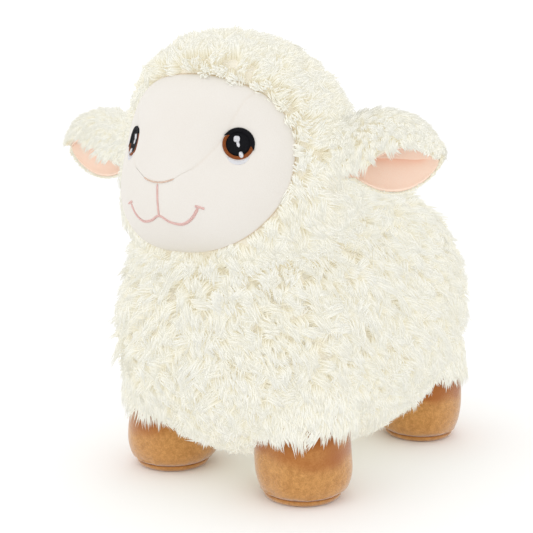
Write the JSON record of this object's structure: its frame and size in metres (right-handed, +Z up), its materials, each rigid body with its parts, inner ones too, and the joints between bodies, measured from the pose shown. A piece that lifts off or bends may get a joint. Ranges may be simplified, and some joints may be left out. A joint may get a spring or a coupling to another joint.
{
  "type": "plush sheep",
  "caption": "Standing stuffed sheep with a round fleece body, a round head with a smooth embroidered face, lined ears, short plush legs and a small tail.",
  "frame": {"origin": "on the ground at the soles' level, under the middle of the sheep's length and width", "axes": "+Z up, -Y the way the face looks, +X towards the sheep's left side"},
  "size_m": [0.2574, 0.2896, 0.2512],
  "materials": {
    "cream_fleece": "long curly cream pile",
    "face_plush": "short smooth off-white pile",
    "ear_lining": "short smooth peach pile",
    "foot_plush": "short caramel brown nap",
    "fibre_stuffing": "loose white polyester fibre, never seen",
    "black_thread": "glossy embroidery thread",
    "brown_thread": "glossy embroidery thread",
    "white_thread": "glossy embroidery thread",
    "pink_thread": "soft embroidery thread"
  },
  "bodies": {
    "body": {"trunk_cover_left": "cream_fleece", "trunk_cover_right": "cream_fleece", "belly_panel": "cream_fleece", "trunk_stuffing": "fibre_stuffing"},
    "neck": {"neck_stuffing": "fibre_stuffing"},
    "head": {"hood_left": "cream_fleece", "hood_right": "cream_fleece", "face_forehead": "face_plush", "face_cheek_left": "face_plush", "face_cheek_right": "face_plush", "head_stuffing": "fibre_stuffing", "eye_pupil_left": "black_thread", "eye_pupil_right": "black_thread", "eye_iris_left": "brown_thread", "eye_iris_right": "brown_thread", "eye_under_left": "white_thread", "eye_under_right": "white_thread", "eye_glint_left": "white_thread", "eye_glint_right": "white_thread", "nose_stitch": "pink_thread", "mouth_stitch": "pink_thread"},
    "ear_left": {"ear_back_left": "cream_fleece", "ear_lining_left": "ear_lining"},
    "ear_right": {"ear_back_right": "cream_fleece", "ear_lining_right": "ear_lining"},
    "leg_front_left": {"leg_cover_front_left": "foot_plush", "leg_stuffing_front_left": "fibre_stuffing", "sole_front_left": "foot_plush"},
    "leg_front_right": {"leg_cover_front_right": "foot_plush", "leg_stuffing_front_right": "fibre_stuffing", "sole_front_right": "foot_plush"},
    "leg_rear_left": {"leg_cover_rear_left": "foot_plush", "leg_stuffing_rear_left": "fibre_stuffing", "sole_rear_left": "foot_plush"},
    "leg_rear_right": {"leg_cover_rear_right": "foot_plush", "leg_stuffing_rear_right": "fibre_stuffing", "sole_rear_right": "foot_plush"},
    "tail": {"tail_cover": "cream_fleece", "tail_stuffing": "fibre_stuffing"}
  },
  "joints": [
    {"name": "head_turn", "type": "hinge", "parent": "body", "child": "neck", "pos_m": [0, -0.08108, 0.18098], "axis": [0, 0, 1], "range_deg": [-12, 12], "stiffness_Nm_per_rad": 0.6},
    {"name": "head_nod", "type": "hinge", "parent": "neck", "child": "head", "pos_m": [0, -0.08108, 0.18098], "axis": [1, 0, 0], "range_deg": [-10, 8], "stiffness_Nm_per_rad": 1},
    {"name": "ear_flap_left", "type": "hinge", "parent": "head", "child": "ear_left", "pos_m": [0.07141, -0.0817, 0.18448], "axis": [0, 1, 0], "range_deg": [-20, 20], "stiffness_Nm_per_rad": 0.25},
    {"name": "ear_flap_right", "type": "hinge", "parent": "head", "child": "ear_right", "pos_m": [-0.07141, -0.0817, 0.18448], "axis": [0, -1, 0], "range_deg": [-20, 20], "stiffness_Nm_per_rad": 0.25},
    {"name": "leg_swing_front_left", "type": "hinge", "parent": "body", "child": "leg_front_left", "pos_m": [0.0465, -0.08042, 0.048], "axis": [1, 0, 0], "range_deg": [-10, 10], "stiffness_Nm_per_rad": 2},
    {"name": "leg_swing_front_right", "type": "hinge", "parent": "body", "child": "leg_front_right", "pos_m": [-0.0465, -0.08042, 0.048], "axis": [1, 0, 0], "range_deg": [-10, 10], "stiffness_Nm_per_rad": 2},
    {"name": "leg_swing_rear_left", "type": "hinge", "parent": "body", "child": "leg_rear_left", "pos_m": [0.0465, 0.05436, 0.048], "axis": [1, 0, 0], "range_deg": [-10, 10], "stiffness_Nm_per_rad": 2},
    {"name": "leg_swing_rear_right", "type": "hinge", "parent": "body", "child": "leg_rear_right", "pos_m": [-0.0465, 0.05436, 0.048], "axis": [1, 0, 0], "range_deg": [-10, 10], "stiffness_Nm_per_rad": 2},
    {"name": "tail_lift", "type": "hinge", "parent": "body", "child": "tail", "pos_m": [0, 0.11532, 0.1137], "axis": [1, 0, 0], "range_deg": [-8, 25], "stiffness_Nm_per_rad": 0.05}
  ]
}
